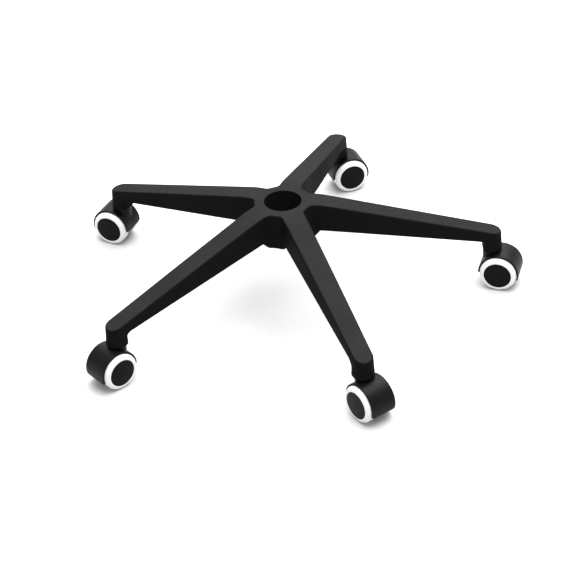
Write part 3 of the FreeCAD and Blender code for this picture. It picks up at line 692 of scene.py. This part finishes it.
def soft_box(name, power, layout, ground):
    """A rectangular soft box that belongs to the stage."""
    lamp = bpy.data.lights.new(name, "AREA")
    lamp.shape = "RECTANGLE"
    lamp.size, lamp.size_y = layout["size"]
    lamp.energy = power
    box = new_object(name, lamp)
    box.matrix_world = aimed(layout["place"], (*layout["faces"], ground))


def paper_floor(settings, height):
    """A sheet of white seamless paper under the wheels."""
    half = settings.floor_half
    mesh = bpy.data.meshes.new("paper_floor")
    corners = [(-half, -half, height), (half, -half, height), (half, half, height),
               (-half, half, height)]
    mesh.from_pydata(corners, [], [(0, 1, 2, 3)])
    material, tree, place = new_material("seamless_paper_matt")
    fibre = add_node(tree, "ShaderNodeTexNoise", {
        "Vector": place, "Scale": 1 / PAPER_FIBRE, "Detail": 3.0})
    colour = add_node(tree, "ShaderNodeMix", {
        MIX_FACTOR: fibre.outputs["Fac"], MIX_A: opaque(settings.floor),
        MIX_B: darker(settings.floor, 0.99)}, data_type="RGBA")
    surface(tree, {"Base Color": colour.outputs[MIX_RESULT], "Roughness": 0.9,
                   "Specular IOR Level": 0.1})
    mesh.materials.append(material)
    floor = new_object("paper_floor", mesh)


def photo_camera(settings):
    """The camera, placed by its distance and angles about the point that it looks at."""
    turn = Matrix.Rotation(settings.turn, 3, "Z")
    up_angle = settings.elevation
    back = turn @ Vector((0, -math.cos(up_angle), math.sin(up_angle)))
    level = turn @ Vector((1, 0, 0))
    steep = turn @ Vector((0, math.sin(up_angle), math.cos(up_angle)))
    right = math.cos(settings.roll) * level + math.sin(settings.roll) * steep
    up = math.cos(settings.roll) * steep - math.sin(settings.roll) * level
    place = turn @ Vector(settings.target) + settings.distance * back
    data = bpy.data.cameras.new("photo_camera")
    data.sensor_width = SENSOR_WIDTH
    data.lens = settings.lens
    data.clip_end = VIEW_END
    camera = new_object("photo_camera", data)
    camera.matrix_world = Matrix((
        (right.x, up.x, back.x, place.x), (right.y, up.y, back.y, place.y),
        (right.z, up.z, back.z, place.z), (0, 0, 0, 1)))
    bpy.context.scene.camera = camera


class STARBASE_OT_set_stage(bpy.types.Operator):
    """Set the floor, the lights and the camera"""

    bl_idname = "starbase.set_stage"
    bl_label = "Set the stage"

    def execute(self, context):
        settings = context.scene.studio_settings
        ground = CAD_BOX[0].z
        paper_floor(settings, ground)
        soft_box("top_soft_box", settings.top_power, TOP_BOX, ground)
        soft_box("back_soft_box", settings.back_power, BACK_BOX, ground)
        world = bpy.data.worlds.new("studio_fill")
        world.use_nodes = True
        fill = world.node_tree.nodes["Background"].inputs
        fill["Color"].default_value = opaque(linear("#ffffff"))
        fill["Strength"].default_value = settings.fill
        context.scene.world = world
        context.scene.view_settings.view_transform = "Standard"
        photo_camera(settings)
        return {"FINISHED"}


class STARBASE_PT_finishes(bpy.types.Panel):
    """Lists the steps and their settings"""

    bl_idname = "STARBASE_PT_finishes"
    bl_label = "Star base"
    bl_space_type = "VIEW_3D"
    bl_region_type = "UI"
    bl_category = "Star base"

    def draw(self, context):
        for operator in OPERATORS:
            self.layout.operator(operator.bl_idname)
        for name in SETTINGS:
            group = getattr(context.scene, name)
            box = self.layout.box()
            for field in group.__annotations__:
                box.prop(group, field)


SETTINGS = {
    "star_settings": StarSettings,
    "caster_settings": CasterSettings,
    "studio_settings": StudioSettings,
}
OPERATORS = (
    STARBASE_OT_finish_star, STARBASE_OT_mark_mould, STARBASE_OT_finish_hoods,
    STARBASE_OT_seam_hoods, STARBASE_OT_finish_wheels, STARBASE_OT_finish_steel,
    STARBASE_OT_set_stage)
CLASSES = (*SETTINGS.values(), *OPERATORS, STARBASE_PT_finishes)


def register():
    """Register the classes and hang the settings on the scene."""
    for made in CLASSES:
        bpy.utils.register_class(made)
    for name, group in SETTINGS.items():
        setattr(bpy.types.Scene, name, bpy.props.PointerProperty(type=group))


def unregister():
    """Undo register."""
    for name in SETTINGS:
        delattr(bpy.types.Scene, name)
    for made in reversed(CLASSES):
        bpy.utils.unregister_class(made)


def main():
    """Run every step in order."""
    register()
    bpy.ops.starbase.finish_star()
    bpy.ops.starbase.mark_mould()
    bpy.ops.starbase.finish_hoods()
    bpy.ops.starbase.seam_hoods()
    bpy.ops.starbase.finish_wheels()
    bpy.ops.starbase.finish_steel()
    bpy.ops.starbase.set_stage()


if __name__ == "__main__":
    main()
